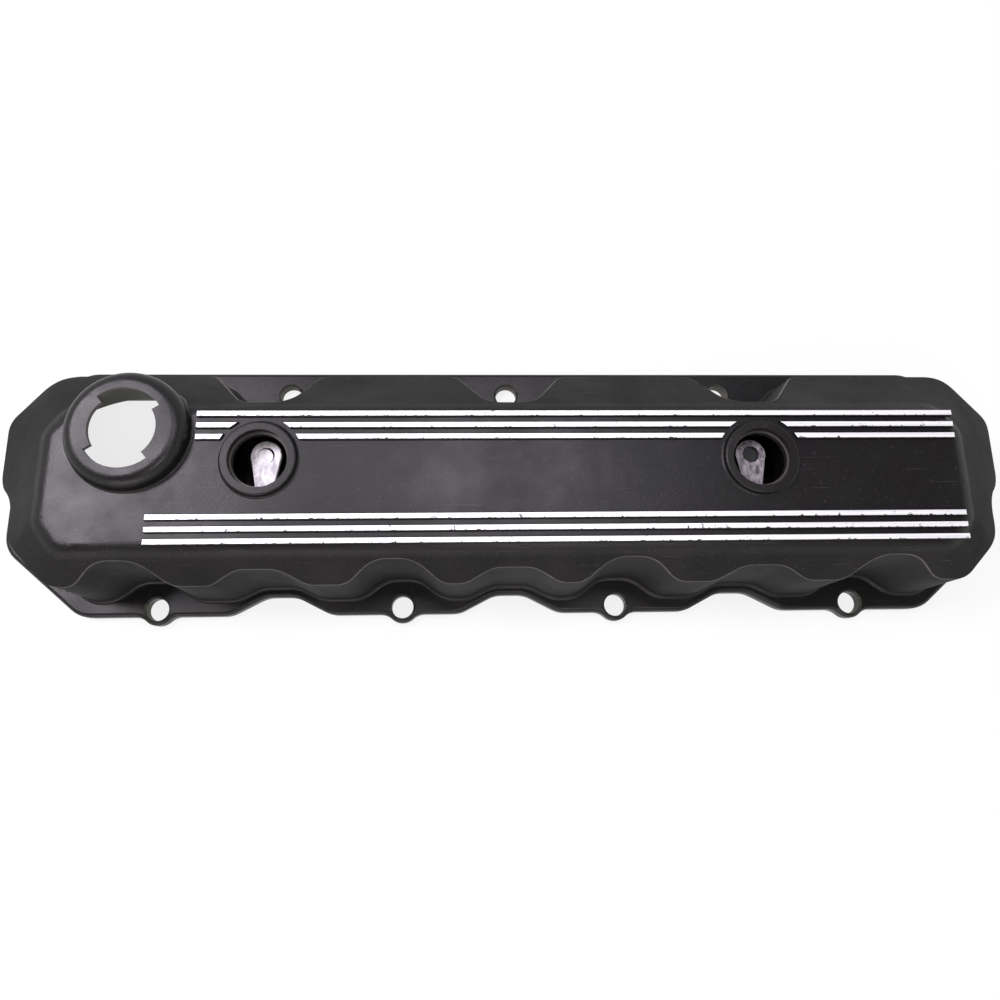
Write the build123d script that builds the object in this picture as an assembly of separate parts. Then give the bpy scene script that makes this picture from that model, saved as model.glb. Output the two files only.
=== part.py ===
from build123d import *
import os
from math import cos, radians, sin, tan

# Cast aluminium valve cover for a four cylinder engine: a hollow hood on a bolted flange, with a
# scalloped front wall, a twist cap oil filler and two breather holes with baffles under them.
# Frame: X along the length, Y to the rear, Z up, origin under the middle of the sealing face.

# Overall sizes, millimetres
cover_length = 479.0
cover_depth = 125.6
top_height = 58.0

# Casting
wall = 3.5
roof = 3.5
draft_angle = 3.0
scallop_edge_round = 0.8
smooth_angle = 14.0

# Flange
flange_thickness = 6.0
flange_edge_round = 2.0
flange_corner_round = 15.0
flange_corner_cut_x = 38.5
flange_corner_cut_y = 32.5
wall_foot_round = 1.8
end_flange_width = 8.5
rear_flange_width = 8.9
front_flange_width = 7.0

# Bolt holes: two pairs along the front, one in the middle and one pair along the rear
bolt_hole_radius = 5.2
bolt_hole_edge = 0.9
ear_radius = 7.4
ear_reach = 4.1
ear_flare = 8.0
rear_bolt_inset = 12.0
rear_outer_bolt_x = 108.0

# Flange notches between the front bolts
notch_half_width = 23.6
notch_floor_half = 7.0
notch_depth = 8.6
notch_round = 14.0

# Wall plan
end_step = 11.0
right_end_extra = 4.0
end_step_inset = 44.7
end_step_run = 10.0
rear_corner_cut = 25.0
front_corner_cut_x = 24.0
front_corner_cut_y = 23.0
wall_corner_round = 14.0

# Front bolts and scallops, with sizes for a front of this half length, and rear scallops
front_drawn_half = 196.0
front_inner_bolt = 50.8
front_outer_bolt = 165.1
scallop_round = 15.0
deep_scallop_depth = 9.2
deep_scallop_half = 19.5
deep_scallop_floor_half = 7.6
shallow_scallop_depth = 5.8
shallow_scallop_half = 20.0
shallow_scallop_floor_half = 8.0
rear_scallop_depth = 21.5
rear_scallop_floor_half = 8.8
rear_scallop_narrow = 18.5
rear_scallop_wide = 29.5
rear_middle_scallop_half = 24.0
rear_scallop_round = 9.5

# Roof facets, each as its run outwards from the edge of the flat top and its fall
end_facet_run = 34.0
end_facet_angle = 40.7
front_facet_run = 15.8
front_facet_angle = 45.0
rear_facet_run = 27.9
rear_facet_angle = 49.5

# Roof rounds and corner facets, with sizes for a flat top of this width
roof_drawn_width = 61.9
crease_round = 9.0
hip_round = 18.0
hip_cut_x = 9.3
hip_cut_y = 12.0
hip_cut_spread = 2.6

# Oil filler, with a mouth for a twist cap that has two lugs
filler_x = -162.4
filler_y = 14.5
filler_ring_radius = 25.7
filler_ring_height = 7.8
filler_ring_round = 5.6
filler_mouth_radius = 14.1
filler_lobe_radius = 17.5
filler_lobe_angle = 97.0
filler_lobe_turn = -8.5
filler_lip = 2.0
filler_bore_radius = 21.8

# Breather holes
breather_x = 107.5
breather_y = 2.4
breather_radius = 11.7
breather_seat_radius = 12.7
breather_rim_radius = 16.2
breather_rim_height = 2.6
breather_rim_round = 0.9
breather_lip = 3.0
rim_foot = 1.1

# Raised ribs
rib_width = 2.8
rib_height = 1.3
rib_sink = 1.0
rib_edge = 0.35
rib_pitch = 5.15
rib_count = 3
rear_rib_inset = 3.4
front_rib_inset = 13.5
rib_right_inset = 2.5
rear_rib_left_x = -134.6
front_rib_left_x = -152.6
rib_breather_gap = 2.6

# Baffle boxes cast under the breather holes, each with a bare strap inside and a plate over its foot
box_half_width = 15.0
box_rear_y = 14.0
box_front_y = -30.0
box_wall = 2.5
box_corner_round = 2.0
box_foot_height = 22.0
strap_depth = 11.0
strap_thickness = 2.0
strap_edge = 0.3
strap_eye_y = 4.9
strap_eye_radius = 6.7
strap_eye_hole_radius = 3.75
strap_plug_radius = 3.4
strap_plug_shift = 0.5
strap_plug_depth = 0.6
strap_neck_y = -7.9
strap_neck_width = 8.7
strap_screw_y = -22.5
plate_thickness = 1.2
plate_slot_length = 18.0
plate_slot_width = 5.0
plate_slot_y = -20.0
boss_radius = 6.0
boss_inset = 3.0
screw_radius = 2.5
screw_clearance = 0.15
screw_engagement = 5.0
screw_head_radius = 4.6
screw_head_height = 2.8
screw_head_round = 1.0
screw_drive_radius = 1.8
screw_drive_depth = 1.4

# Places that follow from the sizes above
half_length = cover_length / 2
half_depth = cover_depth / 2
front_bolt_y = -half_depth + ear_radius
rear_bolt_y = half_depth - rear_bolt_inset
flange_front_y = -half_depth + ear_reach
wall_end_x = half_length - end_flange_width
wall_rear_y = half_depth - rear_flange_width
wall_front_y = flange_front_y + front_flange_width
top_end_x = wall_end_x - end_facet_run
top_rear_y = wall_rear_y - rear_facet_run
top_front_y = wall_front_y + front_facet_run
front_scale = (wall_end_x - end_step - front_corner_cut_x) / front_drawn_half
front_outer_bolt_x = front_outer_bolt * front_scale
front_inner_bolt_x = front_inner_bolt * front_scale
roof_scale = (top_rear_y - top_front_y) / roof_drawn_width
shallow_x = (front_inner_bolt_x + front_outer_bolt_x) / 2
end_step_y = wall_front_y + end_step_inset
rear_rib_y = top_rear_y - rear_rib_inset
front_rib_y = top_front_y + front_rib_inset
roof_inside = top_height - roof
strap_top = top_height - strap_depth
strap_bottom = strap_top - strap_thickness
plate_bottom = box_foot_height - plate_thickness
plate_screw_x = box_half_width + box_wall + boss_inset
filler_top = top_height + filler_ring_height
filler_base = top_height - filler_ring_radius
breather_top = top_height + breather_rim_height
breather_places = [(-breather_x, breather_y), (breather_x, breather_y)]
front_bolt_x = [-front_outer_bolt_x, -front_inner_bolt_x, front_inner_bolt_x, front_outer_bolt_x]
front_bolts = [(x, front_bolt_y) for x in front_bolt_x]
rear_bolts = [(x, rear_bolt_y) for x in (-rear_outer_bolt_x, 0, rear_outer_bolt_x)]


def closed_outline(right, left, radii):
    """A closed outline from two halves, each listed on the right side from the rear round to the front."""
    mirrored = [(-x, y) for x, y in reversed(left)]
    return make_face(FilletPolyline(*right, *mirrored, radius=radii + radii[::-1], close=True))


def front_scallop(x, half, floor_half, depth):
    """Corners of one scallop in the front wall, from right to left."""
    floor_y = wall_front_y + depth * front_scale
    reach = half * front_scale
    floor_reach = floor_half * front_scale
    return [
        (x + reach, wall_front_y),
        (x + floor_reach, floor_y),
        (x - floor_reach, floor_y),
        (x - reach, wall_front_y),
    ]


def wall_half(end_x):
    """Corners and radii of half of the outer wall's foot, which ends at end_x."""
    rear_floor_y = wall_rear_y - rear_scallop_depth
    rear = [
        (rear_scallop_floor_half, rear_floor_y),
        (rear_middle_scallop_half, wall_rear_y),
        (rear_outer_bolt_x - rear_scallop_narrow, wall_rear_y),
        (rear_outer_bolt_x - rear_scallop_floor_half, rear_floor_y),
        (rear_outer_bolt_x + rear_scallop_floor_half, rear_floor_y),
        (rear_outer_bolt_x + rear_scallop_wide, wall_rear_y),
    ]
    step_x = end_x - end_step
    end = [
        (end_x - rear_corner_cut, wall_rear_y),
        (end_x, wall_rear_y - rear_corner_cut),
        (end_x, end_step_y + end_step_run / 2),
        (step_x, end_step_y - end_step_run / 2),
        (step_x, wall_front_y + front_corner_cut_y),
        (step_x - front_corner_cut_x, wall_front_y),
    ]
    deep = (deep_scallop_half, deep_scallop_floor_half, deep_scallop_depth)
    shallow = (shallow_scallop_half, shallow_scallop_floor_half, shallow_scallop_depth)
    front = [
        *front_scallop(front_outer_bolt_x, *deep),
        *front_scallop(shallow_x, *shallow),
        *front_scallop(front_inner_bolt_x, *deep),
        *front_scallop(0, *shallow)[:2],
    ]
    radii = [rear_scallop_round] * len(rear) + [wall_corner_round] * (len(end) - 1)
    radii += [wall_corner_round * front_scale] + [scallop_round * front_scale] * len(front)
    return rear + end + front, radii


def wall_outline():
    """Foot of the outer wall: three rear scallops, stepped ends and a wavy front."""
    right, radii = wall_half(wall_end_x + right_end_extra)
    left, _ = wall_half(wall_end_x)
    return closed_outline(right, left, radii)


def flange_outline():
    """Edge of the flange: straight at the rear, notched at the front, with an ear at each front bolt."""
    notch_y = flange_front_y + notch_depth

    def notch(x):
        return [
            (x + notch_half_width, flange_front_y),
            (x + notch_floor_half, notch_y),
            (x - notch_floor_half, notch_y),
            (x - notch_half_width, flange_front_y),
        ]

    rear_cut = rear_corner_cut + end_flange_width / 2
    corners = [
        (half_length - rear_cut, half_depth),
        (half_length, half_depth - rear_cut),
        (half_length, flange_front_y + flange_corner_cut_y),
        (half_length - flange_corner_cut_x, flange_front_y),
    ]
    notches = [*notch(shallow_x), *notch(0)[:2]]
    radii = [flange_corner_round] * len(corners) + [notch_round] * len(notches)
    plate = closed_outline(corners + notches, corners + notches, radii)
    for place in front_bolts:
        plate += Pos(*place) * Circle(ear_radius)
    on_edge = [v for v in plate.vertices() if abs(v.Y - flange_front_y) < 1e-4]
    roots = [v for v in on_edge if min(abs(v.X - x) for x in front_bolt_x) < ear_radius]
    return fillet(roots, ear_flare)


def drafted_prism(outline, height):
    """An upright prism whose sides lean inwards by the casting draft."""
    prism = extrude(outline, height)
    sides = [f for f in prism.faces() if abs(f.normal_at().Z) < 0.5]
    return draft(sides, Plane.XY, draft_angle)


def roof_block(inset):
    """Flat top with a facet on each side and corner; inset moves every face inwards by that thickness."""
    top_z = top_height - inset

    def edge_at(start, angle, z):
        slope = tan(radians(angle))
        return start + (top_height - inset / cos(radians(angle)) - z) / slope

    def section_at(z):
        x = edge_at(top_end_x, end_facet_angle, z)
        front = -edge_at(-top_front_y, front_facet_angle, z)
        rear = edge_at(top_rear_y, rear_facet_angle, z)
        widening = roof_scale * (hip_cut_spread + (1 - hip_cut_spread) * z / top_height)
        cut_x = widening * hip_cut_x
        cut_y = widening * hip_cut_y
        half = [(x - cut_x, rear), (x, rear - cut_y), (x, front + cut_y), (x - cut_x, front)]
        return Pos(0, 0, z) * closed_outline(half, half, [0] * len(half))

    return loft([section_at(0), section_at(top_z)], ruled=True)


def rounded_roof():
    """The outer roof with soft creases round the flat top and softer hips at its corners."""
    block = roof_block(0)
    hips = [e for e in block.edges() if abs((e @ 0).Z - (e @ 1).Z) > top_height / 2]
    block = fillet(hips, hip_round * roof_scale)
    rim = [e for e in block.edges() if min((e @ 0).Z, (e @ 1).Z) > top_height - 1e-3]
    return fillet(rim, crease_round * roof_scale)


def sharp_edges(block, above):
    """Edges higher than above where two faces meet at a clear angle."""
    sides = {}
    for face in block.faces():
        for edge in face.edges():
            sides.setdefault(edge, []).append(face)
    sharp = []
    for edge, (one, other) in sides.items():
        meeting = one.normal_at(edge @ 0.5).dot(other.normal_at(edge @ 0.5))
        if min((edge @ 0).Z, (edge @ 1).Z) > above and meeting < cos(radians(smooth_angle)):
            sharp.append(edge)
    return sharp


def flange_with_hood():
    """Flange plate and hood as one outer block, still solid, with its outer edges rounded."""
    plate = extrude(flange_outline(), flange_thickness)
    upper_rim = plate.faces().sort_by(Axis.Z)[-1].edges()
    plate = fillet(upper_rim, flange_edge_round)
    hood = drafted_prism(wall_outline(), top_height + wall) & rounded_roof()
    block = plate + hood
    land = [f for f in block.faces() if abs(f.center().Z - flange_thickness) < 1e-4][0]
    foot = [e for w in land.inner_wires() for e in w.edges()]
    block = fillet(foot, wall_foot_round)
    return fillet(sharp_edges(block, flange_thickness + 2 * wall_foot_round), scallop_edge_round)


def cavity():
    """The hollow under the hood, open at the sealing face."""
    inner = offset(wall_outline(), -wall, kind=Kind.INTERSECTION)
    return drafted_prism(inner, top_height) & roof_block(roof)


def collar(x, y, radius, top, rim_round, base):
    """A raised round collar with a rounded top rim, running down into the roof to the height base."""
    ring = Pos(x, y, base) * extrude(Circle(radius), top - base)
    return fillet(ring.faces().sort_by(Axis.Z)[-1].edges(), rim_round)


def collar_foot(block, radius):
    """Edges where the collars of one radius stand on the roof."""
    sides = [f for f in block.faces() if f.geom_type == GeomType.CYLINDER and abs(f.radius - radius) < 1e-4]
    edges = [e for f in sides for e in f.edges() if e.geom_type != GeomType.LINE]
    return [e for e in edges if (e @ 0.5).Z < top_height + 1e-3]


def rib(left_x, y):
    """One raised rib along the top, with its upper edges chamfered."""
    right_x = top_end_x - rib_right_inset
    bar = Pos((left_x + right_x) / 2, y) * Rectangle(right_x - left_x, rib_width)
    bar = Pos(0, 0, top_height - rib_sink) * extrude(bar, rib_height + rib_sink)
    return chamfer(bar.faces().sort_by(Axis.Z)[-1].edges(), rib_edge)


def ribs():
    """Three ribs along the rear, stopping short of the breather rims, and three along the front."""
    rear = Part() + [rib(rear_rib_left_x, rear_rib_y - n * rib_pitch) for n in range(rib_count)]
    for place in breather_places:
        rear -= Pos(*place, top_height - rib_sink) * extrude(
            Circle(breather_rim_radius + rib_breather_gap), rib_height + rib_sink)
    return rear + [rib(front_rib_left_x, front_rib_y - n * rib_pitch) for n in range(rib_count)]


def filler_mouth():
    """The space inside the filler: a wide bore below a thin lip with two gaps for the lugs of the cap."""
    bore = Pos(0, 0, roof_inside - filler_ring_radius) * extrude(
        Circle(filler_bore_radius), filler_top - filler_lip - roof_inside + filler_ring_radius)
    lip = Circle(filler_mouth_radius)
    for middle in (90 + filler_lobe_turn, 270 + filler_lobe_turn):
        reach = 2 * filler_lobe_radius
        spread = [radians(middle - filler_lobe_angle / 2), radians(middle + filler_lobe_angle / 2)]
        corners = [(reach * cos(a), reach * sin(a)) for a in spread]
        wedge = Polygon((0, 0), *corners, align=None)
        lip += wedge & Circle(filler_lobe_radius)
    lip = Pos(0, 0, filler_top - 2 * filler_lip) * extrude(lip, 3 * filler_lip)
    return Pos(filler_x, filler_y, 0) * (bore + lip)


def breather_bore(place):
    """A breather hole with a wider seat cut into it from above."""
    bore = Pos(*place, roof_inside - roof) * extrude(Circle(breather_radius), 3 * roof)
    seat = Pos(*place, roof_inside + breather_lip) * extrude(Circle(breather_seat_radius), 2 * roof)
    return bore + seat


def box_plan(grow):
    """Plan of a baffle box, about its breather hole, with its sides moved outwards by grow."""
    width = 2 * (box_half_width + grow)
    length = box_rear_y - box_front_y + 2 * grow
    plan = Pos(0, (box_rear_y + box_front_y) / 2) * Rectangle(width, length)
    return fillet(plan.vertices(), box_corner_round + grow)


def baffle_box():
    """Walls of a baffle box hanging from the roof, two posts for the plate and a boss for the strap."""
    plan = box_plan(box_wall)
    for side in (-1, 1):
        plan += Pos(side * plate_screw_x, 0) * Circle(boss_radius)
    height = roof_inside + roof / 2 - box_foot_height
    walls = Pos(0, 0, box_foot_height) * extrude(plan - box_plan(0), height)
    boss = Pos(0, strap_screw_y, strap_top) * extrude(Circle(boss_radius), roof_inside + roof / 2 - strap_top)
    for side in (-1, 1):
        walls -= Pos(side * plate_screw_x, 0, box_foot_height) * screw_hole()
    return walls + (boss - Pos(0, strap_screw_y, strap_top) * screw_hole())


def screw_hole():
    """The hole for one screw, up from its mouth."""
    return extrude(Circle(screw_radius + screw_clearance), screw_engagement + screw_clearance)


def bolt_hole(place):
    """One flange hole with its upper edge broken."""
    hole = extrude(Circle(bolt_hole_radius), flange_thickness)
    mouth = extrude(Circle(bolt_hole_radius + bolt_hole_edge), -bolt_hole_edge, taper=45)
    return Pos(*place) * (hole + Pos(0, 0, flange_thickness) * mouth)


def valve_cover():
    """The casting: flange, hood, collars and ribs, hollowed, with its boxes and holes."""
    block = flange_with_hood()
    block += collar(filler_x, filler_y, filler_ring_radius, filler_top, filler_ring_round, filler_base)
    for x, y in breather_places:
        block += collar(x, y, breather_rim_radius, breather_top, breather_rim_round, roof_inside)
    for radius in (filler_ring_radius, breather_rim_radius):
        block = fillet(collar_foot(block, radius), rim_foot)
    block += ribs()
    block -= cavity()
    for place in breather_places:
        block += Pos(*place) * baffle_box()
        block -= breather_bore(place)
    block -= filler_mouth()
    for place in front_bolts + rear_bolts:
        block -= bolt_hole(place)
    return block


def baffle_strap():
    """A bare strap with an eye at its free end, closed below by a plug set a little to one side."""
    half_neck = strap_neck_width / 2
    arm = Polygon(
        (half_neck, strap_screw_y),
        (half_neck, strap_neck_y),
        (strap_eye_radius, strap_eye_y),
        (-strap_eye_radius, strap_eye_y),
        (-half_neck, strap_neck_y),
        (-half_neck, strap_screw_y),
        align=None)
    plan = arm + Pos(0, strap_eye_y) * Circle(strap_eye_radius) + Pos(0, strap_screw_y) * Circle(boss_radius)
    strap = extrude(plan, strap_thickness)
    strap = chamfer(strap.faces().sort_by(Axis.Z)[-1].edges(), strap_edge)
    strap -= Pos(0, strap_screw_y) * extrude(Circle(screw_radius + screw_clearance), strap_thickness)
    strap -= Pos(0, strap_eye_y) * extrude(Circle(strap_eye_hole_radius), strap_thickness)
    plug = extrude(Circle(strap_plug_radius), strap_thickness - strap_plug_depth)
    return strap + Pos(-strap_plug_shift, strap_eye_y - strap_plug_shift / 2) * plug


def baffle_plate():
    """The sheet that closes the foot of a baffle box, with a slot that lets the gas in."""
    plan = box_plan(box_wall)
    for side in (-1, 1):
        plan += Pos(side * plate_screw_x, 0) * Circle(boss_radius)
    for side in (-1, 1):
        plan -= Pos(side * plate_screw_x, 0) * Circle(screw_radius + screw_clearance)
    plan -= Pos(0, plate_slot_y) * SlotOverall(plate_slot_length, plate_slot_width)
    return extrude(plan, plate_thickness)


def pan_head_screw(grip):
    """A screw that points up from its head, whose seat is at height 0."""
    head = Pos(0, 0, -screw_head_height) * extrude(Circle(screw_head_radius), screw_head_height)
    head = fillet(head.faces().sort_by(Axis.Z)[0].edges(), screw_head_round)
    head -= Pos(0, 0, -screw_head_height) * extrude(RegularPolygon(screw_drive_radius, 6), screw_drive_depth)
    return head + extrude(Circle(screw_radius), grip + screw_engagement)


def baffle_screws():
    """The screws of both baffles: one holds each strap and two hold each plate."""
    screws = []
    for x, y in breather_places:
        screws.append(Pos(x, y + strap_screw_y, strap_bottom) * pan_head_screw(strap_thickness))
        for side in (-1, 1):
            screws.append(Pos(x + side * plate_screw_x, y, plate_bottom) * pan_head_screw(plate_thickness))
    return Compound(screws)


def nodes():
    """Every piece in its place, by name."""
    left, right = breather_places
    return {
        "valve_cover": valve_cover(),
        "baffle_strap_left": Pos(*left, strap_bottom) * baffle_strap(),
        "baffle_strap_right": Pos(*right, strap_bottom) * baffle_strap(),
        "baffle_plate_left": Pos(*left, plate_bottom) * baffle_plate(),
        "baffle_plate_right": Pos(*right, plate_bottom) * baffle_plate(),
        "baffle_screws": baffle_screws(),
    }


if __name__ == "__main__":
    os.makedirs("parts", exist_ok=True)
    for name, shape in nodes().items():
        export_step(shape, f"parts/{name}.step")
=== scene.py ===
# %% [markdown]
# A black valve cover, dressed in Blender
#
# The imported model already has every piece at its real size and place: the casting, and under
# each breather hole a bare strap, a closing plate and their screws. This script gives those
# pieces their finishes, sets the floor and the light, and puts the camera where the photograph
# was taken, above the middle of the cover and a little in front of it.

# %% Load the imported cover
from math import cos, radians, sin

import bpy
from mathutils import Matrix, Vector


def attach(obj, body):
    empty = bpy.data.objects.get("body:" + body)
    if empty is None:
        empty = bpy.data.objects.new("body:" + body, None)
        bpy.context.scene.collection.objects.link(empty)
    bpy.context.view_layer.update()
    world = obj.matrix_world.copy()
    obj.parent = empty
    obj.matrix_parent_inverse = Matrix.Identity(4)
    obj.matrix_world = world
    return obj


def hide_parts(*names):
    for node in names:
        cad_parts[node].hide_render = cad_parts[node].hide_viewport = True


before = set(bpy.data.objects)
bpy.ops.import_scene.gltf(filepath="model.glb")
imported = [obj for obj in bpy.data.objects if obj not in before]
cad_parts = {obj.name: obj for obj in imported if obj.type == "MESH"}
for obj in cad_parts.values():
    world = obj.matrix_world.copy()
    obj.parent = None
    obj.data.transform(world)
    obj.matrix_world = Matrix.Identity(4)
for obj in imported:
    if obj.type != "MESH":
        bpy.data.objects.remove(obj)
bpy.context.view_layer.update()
MM = 0.001
print("nodes:", sorted(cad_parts))

# %% [markdown]
# The CAD mesh is made of loose triangles, which is fine for measuring but not for shading: light
# can't run smoothly over a rounded crease whose triangles share no points. So each node is copied,
# its points are merged, and faces that meet at a small angle are shaded as one smooth surface. A
# weighted normal then keeps the broad flat facets flat, because large faces win over the narrow
# rounded strips beside them. The copy stands in for the node and stays exactly where it is.

# %% Copy and smooth every node
SMOOTH_ANGLE = radians(32)
MERGE_DISTANCE = 0.002 * MM


def select_only(piece):
    bpy.ops.object.select_all(action="DESELECT")
    piece.select_set(True)
    bpy.context.view_layer.objects.active = piece


def smooth_copy(node, name):
    select_only(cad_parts[node])
    bpy.ops.object.duplicate()
    piece = bpy.context.view_layer.objects.active
    piece.name = name
    piece.data.name = name
    if piece.data.has_custom_normals:
        bpy.ops.mesh.customdata_custom_splitnormals_clear()
    bpy.ops.object.mode_set(mode="EDIT")
    bpy.ops.mesh.select_all(action="SELECT")
    bpy.ops.mesh.remove_doubles(threshold=MERGE_DISTANCE)
    bpy.ops.object.mode_set(mode="OBJECT")
    bpy.ops.object.shade_smooth_by_angle(angle=SMOOTH_ANGLE)
    bpy.ops.object.modifier_add(type="WEIGHTED_NORMAL")
    piece.modifiers[-1].keep_sharp = True
    bpy.ops.object.modifier_apply(modifier=piece.modifiers[-1].name)
    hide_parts(node)
    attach(piece, "root")
    piece.data.materials.clear()
    return piece


casting = smooth_copy("valve_cover", "cover_casting")
strap_left = smooth_copy("baffle_strap_left", "strap_left")
strap_right = smooth_copy("baffle_strap_right", "strap_right")
plates = [
    smooth_copy(f"baffle_plate_{side}", f"plate_{side}")
    for side in ("left", "right")
]
screws = smooth_copy("baffle_screws", "baffle_screw_set")
for piece in (casting, strap_left, strap_right, *plates, screws):
    print(piece.name, len(piece.data.vertices), "points", len(piece.data.polygons), "faces")

# %% [markdown]
# Two small helpers serve every material. One turns an sRGB hex colour, as read from a colour chart,
# into the linear values that shaders work in. The other adds one node with its settings and the
# sockets that feed it, so that each material below reads as a list of what it is made of.

# %% Helpers for materials


def colour(code):
    channels = [int(code[i:i + 2], 16) / 255 for i in (1, 3, 5)]
    linear = [c / 12.92 if c <= 0.04045 else ((c + 0.055) / 1.055) ** 2.4 for c in channels]
    return (*linear, 1.0)


def add_node(tree, kind, settings=None, inputs=None):
    node = tree.nodes.new(kind)
    for key, value in (settings or {}).items():
        setattr(node, key, value)
    for key, value in (inputs or {}).items():
        if isinstance(value, bpy.types.NodeSocket):
            tree.links.new(value, node.inputs[key])
        else:
            node.inputs[key].default_value = value
    return node


def new_material(name):
    material = bpy.data.materials.new(name)
    material.use_nodes = True
    tree = material.node_tree
    tree.nodes.clear()
    place = add_node(tree, "ShaderNodeTexCoord").outputs["Object"]
    return material, tree, place


def per_mm(size):
    return 1 / (size * MM)


# %% [markdown]
# The casting is sprayed with a satin black powder coat. Powder melts into a film with a faint
# orange-peel skin, so a highlight on it looks slightly pebbled. Handling leaves broad rubbed patches
# that shine a little more, and a few hair scratches, which are drawn wider than real ones so that
# they show. The top, the filler ring and the flange are wiped most often, so they have a closed,
# smoother film than the facets and walls, which stay as they were sprayed: roughness follows the
# height above the sealing face. The base is very dark; nearly everything that the eye sees on it is
# reflected light, so roughness and bump matter more than colour.

# %% Satin black powder coat
PEEL_SIZE, PEEL_STRENGTH, PEEL_DEPTH = 1.1, 0.6, 0.08 * MM
RUB_SIZE, RUB_GLOSS = 38.0, 0.10
SPECK_SIZE, SPECK_FROM, SPECK_TO, SPECK_PALENESS = 1.3, 0.62, 0.8, 0.3
SCRATCH_LENGTH, SCRATCH_WIDTH, SCRATCH_TURN = 26.0, 0.35, radians(24)
SCRATCH_FROM, SCRATCH_TO, SCRATCH_PALENESS = 0.73, 0.80, 0.7
# pale colour for the scratches, which are wear, and for the specks, which are painted glints
WORN_FILM_AND_GLINT = "#4c484c"
FILM_IOR = 1.38
SPRAYED_TO, WIPED_FROM = 53.8 * MM, 58.0 * MM
FLANGE_WIPED_TO, SPRAYED_FROM = 6.2 * MM, 9.0 * MM


def powder_coat(name, dark, light, wiped, sprayed):
    material, tree, place = new_material(name)
    height = add_node(tree, "ShaderNodeSeparateXYZ", inputs={"Vector": place}).outputs["Z"]
    upper = add_node(tree, "ShaderNodeMapRange", {"interpolation_type": "SMOOTHSTEP"}, {
        "Value": height, "From Min": SPRAYED_TO, "From Max": WIPED_FROM,
        "To Min": sprayed, "To Max": wiped}).outputs["Result"]
    lower = add_node(tree, "ShaderNodeMapRange", {"interpolation_type": "SMOOTHSTEP"}, {
        "Value": height, "From Min": FLANGE_WIPED_TO, "From Max": SPRAYED_FROM,
        "To Min": wiped, "To Max": sprayed}).outputs["Result"]
    roughness = add_node(tree, "ShaderNodeMath", {"operation": "MINIMUM"}, {
        0: upper, 1: lower}).outputs[0]
    rub = add_node(tree, "ShaderNodeTexNoise", inputs={
        "Vector": place, "Scale": per_mm(RUB_SIZE), "Detail": 5.0, "Roughness": 0.62}).outputs["Fac"]
    peel = add_node(tree, "ShaderNodeTexNoise", inputs={
        "Vector": place, "Scale": per_mm(PEEL_SIZE), "Detail": 3.0, "Roughness": 0.55}).outputs["Fac"]
    speck = add_node(tree, "ShaderNodeTexNoise", inputs={
        "Vector": place, "Scale": per_mm(SPECK_SIZE), "Detail": 2.0}).outputs["Fac"]
    stretched = add_node(tree, "ShaderNodeMapping", inputs={
        "Vector": place, "Rotation": (0.0, 0.0, SCRATCH_TURN),
        "Scale": (per_mm(SCRATCH_LENGTH), per_mm(SCRATCH_WIDTH), per_mm(SCRATCH_WIDTH)),
    }).outputs["Vector"]
    lines = add_node(tree, "ShaderNodeTexNoise", inputs={
        "Vector": stretched, "Scale": 1.0, "Detail": 1.0}).outputs["Fac"]
    scratch = add_node(tree, "ShaderNodeMapRange", inputs={
        "Value": lines, "From Min": SCRATCH_FROM, "From Max": SCRATCH_TO,
        "To Max": SCRATCH_PALENESS}).outputs["Result"]
    tone = add_node(tree, "ShaderNodeMapRange", inputs={
        "Value": rub, "From Min": 0.3, "From Max": 0.7}).outputs["Result"]
    # pale specks lighten the colour here: painted glints of the pebbled skin
    grain = add_node(tree, "ShaderNodeMapRange", inputs={
        "Value": speck, "From Min": SPECK_FROM, "From Max": SPECK_TO,
        "To Max": SPECK_PALENESS}).outputs["Result"]
    wear_and_glint = add_node(tree, "ShaderNodeMath", {"operation": "MAXIMUM"}, {
        0: grain, 1: scratch}).outputs[0]
    film = add_node(tree, "ShaderNodeMix", {"data_type": "RGBA"}, {
        "Factor": tone, 6: colour(dark), 7: colour(light)}).outputs[2]
    base = add_node(tree, "ShaderNodeMix", {"data_type": "RGBA"}, {
        "Factor": wear_and_glint, 6: film, 7: colour(WORN_FILM_AND_GLINT)}).outputs[2]
    gloss = add_node(tree, "ShaderNodeMapRange", inputs={
        "Value": rub, "From Min": 0.25, "From Max": 0.75,
        "To Min": RUB_GLOSS, "To Max": -RUB_GLOSS}).outputs["Result"]
    gloss = add_node(tree, "ShaderNodeMath", {"operation": "ADD"}, {
        0: gloss, 1: roughness}).outputs[0]
    skin = add_node(tree, "ShaderNodeBump", inputs={
        "Height": peel, "Strength": PEEL_STRENGTH, "Distance": PEEL_DEPTH}).outputs["Normal"]
    shader = add_node(tree, "ShaderNodeBsdfPrincipled", inputs={
        "Base Color": base, "Roughness": gloss, "IOR": FILM_IOR, "Normal": skin}).outputs["BSDF"]
    add_node(tree, "ShaderNodeOutputMaterial", inputs={"Surface": shader})
    return material


black_coat = powder_coat("satin_black_powder_coat", "#0b0a0b", "#151315", 0.35, 0.82)
print(black_coat.name, "skin", PEEL_SIZE, "mm, rubbed patches", RUB_SIZE, "mm")

# %% [markdown]
# Where a wall meets a sloping facet the casting has a tight rounded edge. Powder pulls thin there and
# handling rubs it, and over that wear the edge gets a painted highlight: the same coat, lighter and
# glossier, on the narrow strips of faces that turn from a facet to a wall, so the edge reads as a fine
# pale line along every scallop. The edges of the filler's lip and the seats in the breather holes get
# the same.

# %% Rubbed coat with a painted highlight along the edges
# lighter colours than the coat: a painted highlight on the edge strips, over real rubbing
rubbed_edge_highlight = powder_coat("rubbed_coat_edge_highlight", "#343130", "#524e4a", 0.40, 0.50)
print(rubbed_edge_highlight.name)

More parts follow.
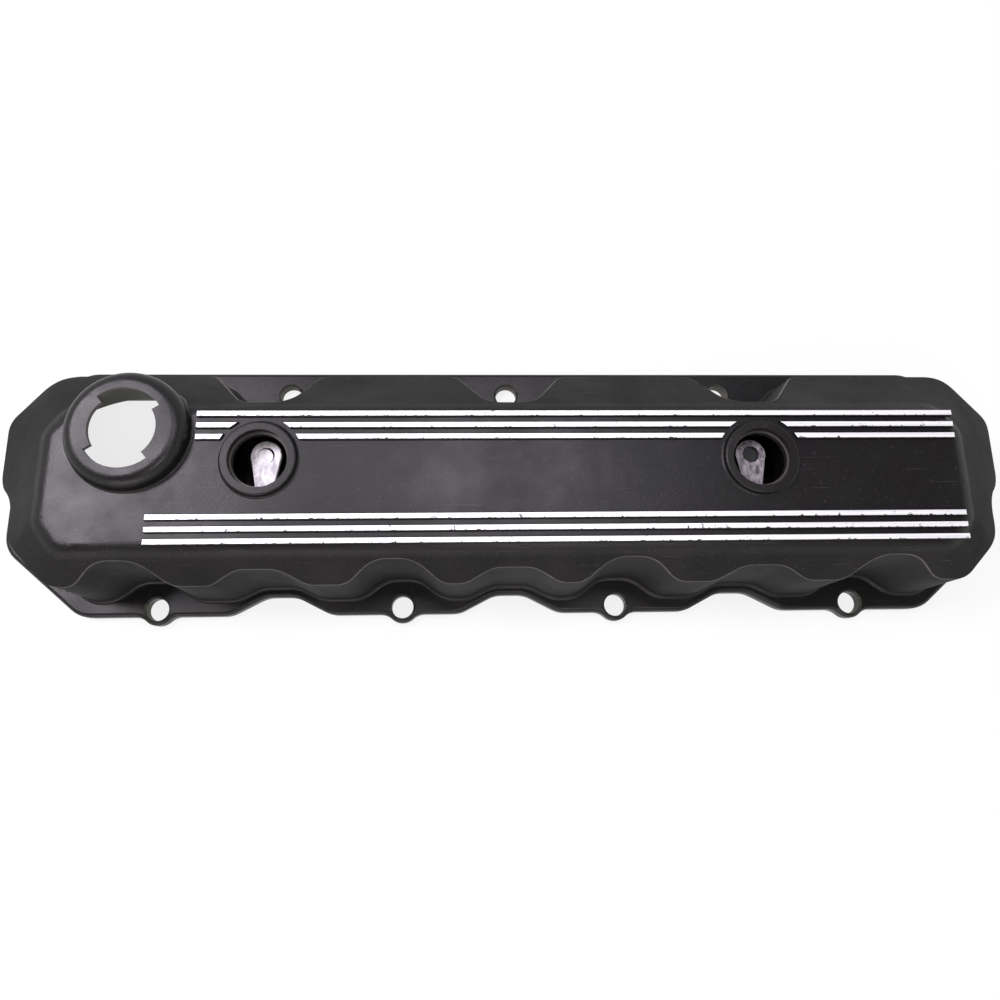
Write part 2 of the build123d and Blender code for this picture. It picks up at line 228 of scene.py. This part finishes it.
# %% [markdown]
# The ribs are machined after coating, which leaves bare bright aluminium with fine cutter lines along
# the rib, drawn here wider apart than real ones so that they show. The cut surface is so finely
# broken that it scatters light almost as white paint does, so it is only partly metallic. A little
# of the coat is left in low spots and ragged along the rib's edges, more at the front one, so the
# mesh carries a value that runs from -1 at a rib's front edge to 1 at its rear edge.

# %% Bare machined aluminium
CUTTER_PITCH, STREAK_LENGTH = 0.5, 45.0
STREAK_DULL, STREAK_BRIGHT, STREAK_GLOSS = 0.36, 0.64, 0.08
RIDGE_STRENGTH, RIDGE_DEPTH = 0.25, 0.03 * MM
CHIP_SIZE, CHIP_FROM, CHIP_TO = 2.4, 0.66, 0.69
EDGE_COAT, RAGGED_FROM, FRONT_EDGE = 0.11, -0.35, -1.0
LEFT_COAT = "#2a282a"


def machined_aluminium(name, bright, dull, roughness, metallic, grain=(STREAK_LENGTH, CUTTER_PITCH)):
    material, tree, place = new_material(name)
    along = add_node(tree, "ShaderNodeMapping", inputs={
        "Vector": place,
        "Scale": (per_mm(grain[0]), per_mm(grain[1]), per_mm(grain[1]))}).outputs["Vector"]
    streak = add_node(tree, "ShaderNodeTexNoise", inputs={
        "Vector": along, "Scale": 1.0, "Detail": 4.0, "Roughness": 0.6}).outputs["Fac"]
    chips = add_node(tree, "ShaderNodeTexNoise", inputs={
        "Vector": place, "Scale": per_mm(CHIP_SIZE), "Detail": 4.0, "Roughness": 0.7}).outputs["Fac"]
    across = add_node(tree, "ShaderNodeAttribute", {"attribute_name": "rib_across"}).outputs["Fac"]
    edge = add_node(tree, "ShaderNodeMapRange", {"interpolation_type": "SMOOTHSTEP"}, {
        "Value": across, "From Min": RAGGED_FROM, "From Max": FRONT_EDGE,
        "To Max": EDGE_COAT}).outputs["Result"]
    ragged = add_node(tree, "ShaderNodeMath", {"operation": "ADD"}, {0: chips, 1: edge}).outputs[0]
    left_coat = add_node(tree, "ShaderNodeMapRange", inputs={
        "Value": ragged, "From Min": CHIP_FROM, "From Max": CHIP_TO}).outputs["Result"]
    tone = add_node(tree, "ShaderNodeMapRange", inputs={
        "Value": streak, "From Min": STREAK_DULL, "From Max": STREAK_BRIGHT}).outputs["Result"]
    metal = add_node(tree, "ShaderNodeMix", {"data_type": "RGBA"}, {
        "Factor": tone, 6: colour(dull), 7: colour(bright)}).outputs[2]
    base = add_node(tree, "ShaderNodeMix", {"data_type": "RGBA"}, {
        "Factor": left_coat, 6: metal, 7: colour(LEFT_COAT)}).outputs[2]
    gloss = add_node(tree, "ShaderNodeMapRange", inputs={
        "Value": streak, "To Min": roughness - STREAK_GLOSS,
        "To Max": roughness + STREAK_GLOSS}).outputs["Result"]
    ridges = add_node(tree, "ShaderNodeBump", inputs={
        "Height": streak, "Strength": RIDGE_STRENGTH, "Distance": RIDGE_DEPTH}).outputs["Normal"]
    shader = add_node(tree, "ShaderNodeBsdfPrincipled", inputs={
        "Base Color": base, "Metallic": metallic, "Roughness": gloss,
        "Normal": ridges}).outputs["BSDF"]
    add_node(tree, "ShaderNodeOutputMaterial", inputs={"Surface": shader})
    return material


rib_metal = machined_aluminium("bare_machined_aluminium", "#f6f6f8", "#e2e2e8", 0.42, 0.3)
print(rib_metal.name, "cutter lines", CUTTER_PITCH, "mm apart")

# %% [markdown]
# Inside, the casting is left as it came from the die: dull grey aluminium, coloured much darker than
# bare metal as painted shade of the hollow, with blotches of oil mist. It shows through the filler
# mouth as an olive shadow under the rear facet. The boxes under the breather holes are coated too, in
# black that also paints the deep shade in the wells, and as they are wet with oil their corners catch
# a glint.

# %% Raw casting with painted shade
OIL_SIZE = 14.0
SAND_SIZE, SAND_STRENGTH, SAND_DEPTH = 1.2, 0.4, 0.08 * MM


def raw_casting(name, dark, light):
    material, tree, place = new_material(name)
    mist = add_node(tree, "ShaderNodeTexNoise", inputs={
        "Vector": place, "Scale": per_mm(OIL_SIZE), "Detail": 5.0}).outputs["Fac"]
    sand = add_node(tree, "ShaderNodeTexNoise", inputs={
        "Vector": place, "Scale": per_mm(SAND_SIZE), "Detail": 3.0}).outputs["Fac"]
    base = add_node(tree, "ShaderNodeMix", {"data_type": "RGBA"}, {
        "Factor": mist, 6: colour(dark), 7: colour(light)}).outputs[2]
    rough = add_node(tree, "ShaderNodeBump", inputs={
        "Height": sand, "Strength": SAND_STRENGTH, "Distance": SAND_DEPTH}).outputs["Normal"]
    shader = add_node(tree, "ShaderNodeBsdfPrincipled", inputs={
        "Base Color": base, "Metallic": 0.2, "Roughness": 0.55, "Normal": rough}).outputs["BSDF"]
    add_node(tree, "ShaderNodeOutputMaterial", inputs={"Surface": shader})
    return material


inside_metal_shade = raw_casting("raw_casting_painted_shade", "#34342c", "#54534a")
# black coat in the baffle boxes, whose black also paints the deep shade in the wells
well_coat_shade = powder_coat("oil_wetted_coat_painted_shade", "#0c0b0c", "#1a191a", 0.22, 0.22)
print(inside_metal_shade.name, well_coat_shade.name)

# %% [markdown]
# One mesh carries all five finishes of the casting, chosen face by face from where each face lies and
# which way it points. Rib tops are the flat faces at the ribs' own height. Edge strips lie between the
# flange and the top and lean between a wall and a facet. Inner faces look towards the hollow; to
# tell, the way out from the middle of the cover is taken mostly across it, as the cover is long.

# %% Give the casting its finishes
ROOF_TOP = 58.0 * MM
RIB_TOP = ROOF_TOP + 1.3 * MM
ROOF_INSIDE = ROOF_TOP - 3.5 * MM
SEAT_STEP = ROOF_INSIDE + 3.0 * MM
EDGE_LOW, EDGE_HIGH = 9.6 * MM, 55.5 * MM
EDGE_LEAN = (0.14, 0.60)
SLACK = 0.03 * MM
LEVEL, STEEP = 0.9, 0.3
LONGWAYS_SHARE = 0.3
DOWNWARD, INWARD = -0.25, -0.2
BREATHER_X, BREATHER_Y, BREATHER_SEAT = 107.5 * MM, 2.4 * MM, 12.8 * MM
BOX_REACH_X, BOX_FRONT, BOX_REAR = 28 * MM, -33 * MM, 17 * MM
REAR_RIB_Y, FRONT_RIB_Y, RIB_PITCH, RIB_HALF = 22.6, -22.4, 5.15, 1.05 * MM
FILLER = Vector((-162.4, 14.5, 0)) * MM
FILLER_LIP_FOOT, FILLER_BORE = 63.8 * MM, 22.5 * MM

COAT, EDGE, RIB, INSIDE, WELL_SHADE = range(5)
for finish in (black_coat, rubbed_edge_highlight, rib_metal, inside_metal_shade, well_coat_shade):
    casting.data.materials.append(finish)


def in_baffle_box(point):
    near_x = abs(abs(point.x) - BREATHER_X) < BOX_REACH_X
    return near_x and BOX_FRONT < point.y - BREATHER_Y < BOX_REAR


def looks_inwards(face):
    out = Vector((face.center.x * LONGWAYS_SHARE, face.center.y, 0))
    faces_hollow = face.normal.dot(out) < INWARD * out.length
    return face.center.z < ROOF_INSIDE and (face.normal.z < DOWNWARD or faces_hollow)


def in_breather(point):
    return Vector((abs(point.x) - BREATHER_X, point.y - BREATHER_Y)).length < BREATHER_SEAT


def in_filler(point):
    return (point - FILLER).xy.length < FILLER_BORE


def finish_of(face):
    z, lean = face.center.z, face.normal.z
    # the filler lip's edge, the breather seats and the edge strips below take the coat with the
    # painted highlight
    if in_filler(face.center) and abs(lean) < STEEP and z > FILLER_LIP_FOOT:
        return EDGE
    if in_filler(face.center) and lean < STEEP and z > ROOF_INSIDE:
        return INSIDE
    if abs(z - RIB_TOP) < SLACK and lean > LEVEL:
        return RIB
    if in_breather(face.center) and abs(z - SEAT_STEP) < SLACK and lean > LEVEL:
        return EDGE
    if EDGE_LOW < z < EDGE_HIGH and EDGE_LEAN[0] < lean < EDGE_LEAN[1]:
        return EDGE
    if looks_inwards(face) and not in_baffle_box(face.center):
        return INSIDE
    return WELL_SHADE if in_baffle_box(face.center) and z < ROOF_INSIDE else COAT


for face in casting.data.polygons:
    face.material_index = finish_of(face)
rib_rows = [(start - n * RIB_PITCH) * MM for start in (REAR_RIB_Y, FRONT_RIB_Y) for n in range(3)]
across = casting.data.attributes.new("rib_across", "FLOAT", "POINT")
for point in casting.data.vertices:
    middle = min(rib_rows, key=lambda y: abs(point.co.y - y))
    across.data[point.index].value = max(-1.0, min(1.0, (point.co.y - middle) / RIB_HALF))
counts = [sum(f.material_index == i for f in casting.data.polygons) for i in range(5)]
print("faces per finish: coat, edge, rib, inside, well", counts)

# %% [markdown]
# The straps inside the breather holes are stamped from bare strip, and their sheared edges are bare
# metal with a painted highlight. Both are aluminium, the left one lighter and the right one coloured
# darker, with a darker plug in its eye whose colour is painted shade. The closing plates are black
# sheet whose black also paints the deep shade in the wells, and the screws are zinc plated steel.

# %% Finish the straps, plates and screws
STRIP_GRAIN = (2.2, 4.5)
bright_strip = machined_aluminium(
    "bare_aluminium_strip", "#e8e4e8", "#a8a4aa", 0.50, 0.35, STRIP_GRAIN)
# the right strap is coloured darker than the left
darker_strip = machined_aluminium(
    "darker_right_strip", "#b9b2ba", "#4d4652", 0.50, 0.45, STRIP_GRAIN)
# lighter edge faces: bare sheared metal with a painted highlight
strip_edge_highlight = machined_aluminium(
    "sheared_strip_edge_highlight", "#f4f2f4", "#d6d3d8", 0.40, 0.30, STRIP_GRAIN)
# the plug's dark colour paints the shade in the right strap's eye
plug_painted_shade = raw_casting("plug_painted_shade", "#1c1e20", "#2a2c2e")
# black sheet whose black also paints the deep shade in the wells
black_sheet_shade = powder_coat("black_sheet_painted_shade", "#0c0b0c", "#141314", 0.5, 0.5)
zinc = machined_aluminium("zinc_plated_steel", "#b8b8b4", "#8e8e8a", 0.35, 0.9)
STRAP_TOP = 47.0 * MM
PLUG_TOP, PLUG_SLACK = STRAP_TOP - 0.6 * MM, 0.05 * MM
FLAT, SHEARED_HIGHLIGHT, PLUG = range(3)


def strap_finish_of(face):
    if abs(face.center.z - PLUG_TOP) < PLUG_SLACK and face.normal.z > LEVEL:
        return PLUG
    return SHEARED_HIGHLIGHT if STEEP < face.normal.z < LEVEL else FLAT


for strap, flat, plug in (
        (strap_left, bright_strip, bright_strip), (strap_right, darker_strip, plug_painted_shade)):
    for finish in (flat, strip_edge_highlight, plug):
        strap.data.materials.append(finish)
    for face in strap.data.polygons:
        face.material_index = strap_finish_of(face)
for plate in plates:
    plate.data.materials.append(black_sheet_shade)
screws.data.materials.append(zinc)
print("straps, plates and screws finished")

# %% [markdown]
# The photograph has a plain white surround. The floor here is a pale matt sheet that receives the
# cover's shadow; for rays that come straight from the camera, or by a reflection, part of it is
# replaced by plain white, so that the surround is white without more light on the cover. Around it
# stands a white surround that fades to a dim ceiling, so black paint can stay black seen from above.

# %% Floor and surround
FLOOR_SIZE = 8.0
FLOOR_WHITE = 0.8
bpy.ops.mesh.primitive_plane_add(size=FLOOR_SIZE, location=(0, 0, 0))
floor = bpy.context.view_layer.objects.active
floor.name = "studio_floor"

paper, tree, place = new_material("white_paper_floor")
path = add_node(tree, "ShaderNodeLightPath")
seen = add_node(tree, "ShaderNodeMath", {"operation": "ADD"}, {
    0: path.outputs["Is Camera Ray"], 1: path.outputs["Is Glossy Ray"]}).outputs[0]
seen = add_node(tree, "ShaderNodeMath", {"operation": "ADD", "use_clamp": True}, {
    0: seen, 1: path.outputs["Is Transmission Ray"]}).outputs[0]
share = add_node(tree, "ShaderNodeMath", {"operation": "MULTIPLY"}, {
    0: seen, 1: FLOOR_WHITE}).outputs[0]
matt = add_node(tree, "ShaderNodeBsdfDiffuse", inputs={"Color": colour("#f4f3f2")}).outputs["BSDF"]
white = add_node(tree, "ShaderNodeEmission", inputs={
    "Color": colour("#ffffff"), "Strength": 1.0}).outputs["Emission"]
mixed = add_node(tree, "ShaderNodeMixShader", inputs={0: share, 1: matt, 2: white}).outputs["Shader"]
add_node(tree, "ShaderNodeOutputMaterial", inputs={"Surface": mixed})
floor.data.materials.append(paper)

world = bpy.data.worlds.new("studio_surround")
bpy.context.scene.world = world
world.use_nodes = True
sky = world.node_tree
sky.nodes.clear()
HORIZON, ZENITH = 1.0, 0.12
LOW_SKY, HIGH_SKY = 0.5, 0.76
direction = add_node(sky, "ShaderNodeTexCoord").outputs["Generated"]
rise = add_node(sky, "ShaderNodeSeparateXYZ", inputs={"Vector": direction}).outputs["Z"]
strength = add_node(sky, "ShaderNodeMapRange", {"interpolation_type": "SMOOTHSTEP"}, {
    "Value": rise, "From Min": LOW_SKY, "From Max": HIGH_SKY,
    "To Min": HORIZON, "To Max": ZENITH}).outputs["Result"]
soft = add_node(sky, "ShaderNodeBackground", inputs={
    "Color": colour("#fffefc"), "Strength": strength}).outputs["Background"]
add_node(sky, "ShaderNodeOutputWorld", inputs={"Surface": soft})
print("floor", FLOOR_SIZE, "m")

# %% [markdown]
# Black paint shows its lights rather than its colour, so the lamps are placed by what the photograph
# mirrors: a strong sheen on the left of the top that fades over the middle and is gone at the right.
# Two softboxes hang where the camera would see them mirrored in those places, the left one brighter.
# A small one over the front draws the glint on rounded front edges, and a weak low one at the front
# left grazes the scallops.

# %% Softboxes


def softbox(name, place, target, size, power, tint):
    bpy.ops.object.light_add(type="AREA", location=place)
    lamp = bpy.context.view_layer.objects.active
    lamp.name = name
    lamp.data.shape = "RECTANGLE"
    lamp.data.size, lamp.data.size_y = size
    lamp.data.energy = power
    lamp.data.color = colour(tint)[:3]
    aim = Vector(target) - Vector(place)
    lamp.rotation_euler = aim.to_track_quat("-Z", "Y").to_euler()
    print(name, "at", place, power, "W")


softbox("left_sheen", (-0.66, 0.27, 1.04), (-0.12, 0.0, 0.05), (0.48, 0.30), 9.2, "#fbf4ff")
softbox("middle_sheen", (0.04, 0.28, 1.08), (0.0, 0.0, 0.05), (0.44, 0.26), 3.6, "#fbf6ff")
softbox("front_glint", (0.16, -0.38, 1.0), (-0.05, 0.0, 0.05), (0.34, 0.18), 2.2, "#fff8f4")
softbox("front_fill", (-0.35, -1.05, 0.55), (-0.05, 0.0, 0.03), (0.9, 0.4), 3.0, "#fff4ea")

# %% [markdown]
# The camera stands about 37 cm above the floor, tilted a little from straight down, and turned and
# rolled by the small amounts that make the ribs and holes line up with the photograph.

# %% Camera
CAMERA_PLACE = Vector((-18.4, -88.9, 372.6)) * MM
TILT, YAW, ROLL = radians(13.088), radians(2.295), radians(-0.842)
SENSOR_WIDTH = 36.0
IMAGE_WIDTH = 1000
FOCAL_PIXELS = 766.06

forward = Vector((sin(YAW) * cos(TILT), sin(TILT), -cos(TILT) * cos(YAW))).normalized()
right = forward.cross(Vector((0, 1, 0))).normalized()
up = right.cross(forward)
right_rolled = right * cos(ROLL) + up * sin(ROLL)
up_rolled = up * cos(ROLL) - right * sin(ROLL)
axes = Matrix((right_rolled, up_rolled, -forward)).transposed()

bpy.ops.object.camera_add()
camera = bpy.context.view_layer.objects.active
camera.name = "photo_camera"
camera.matrix_world = Matrix.Translation(CAMERA_PLACE) @ axes.to_4x4()
camera.data.sensor_fit = "HORIZONTAL"
camera.data.sensor_width = SENSOR_WIDTH
camera.data.lens = FOCAL_PIXELS / IMAGE_WIDTH * SENSOR_WIDTH
camera.data.clip_start = 10 * MM
bpy.context.scene.camera = camera
bpy.context.scene.view_settings.view_transform = "Standard"
print("camera", [round(v / MM, 1) for v in CAMERA_PLACE], "mm")
print("lens", round(camera.data.lens, 2), "mm")

# %% [markdown]
# Last, the selection is cleared.

# %% Clear the selection
bpy.ops.object.select_all(action="DESELECT")
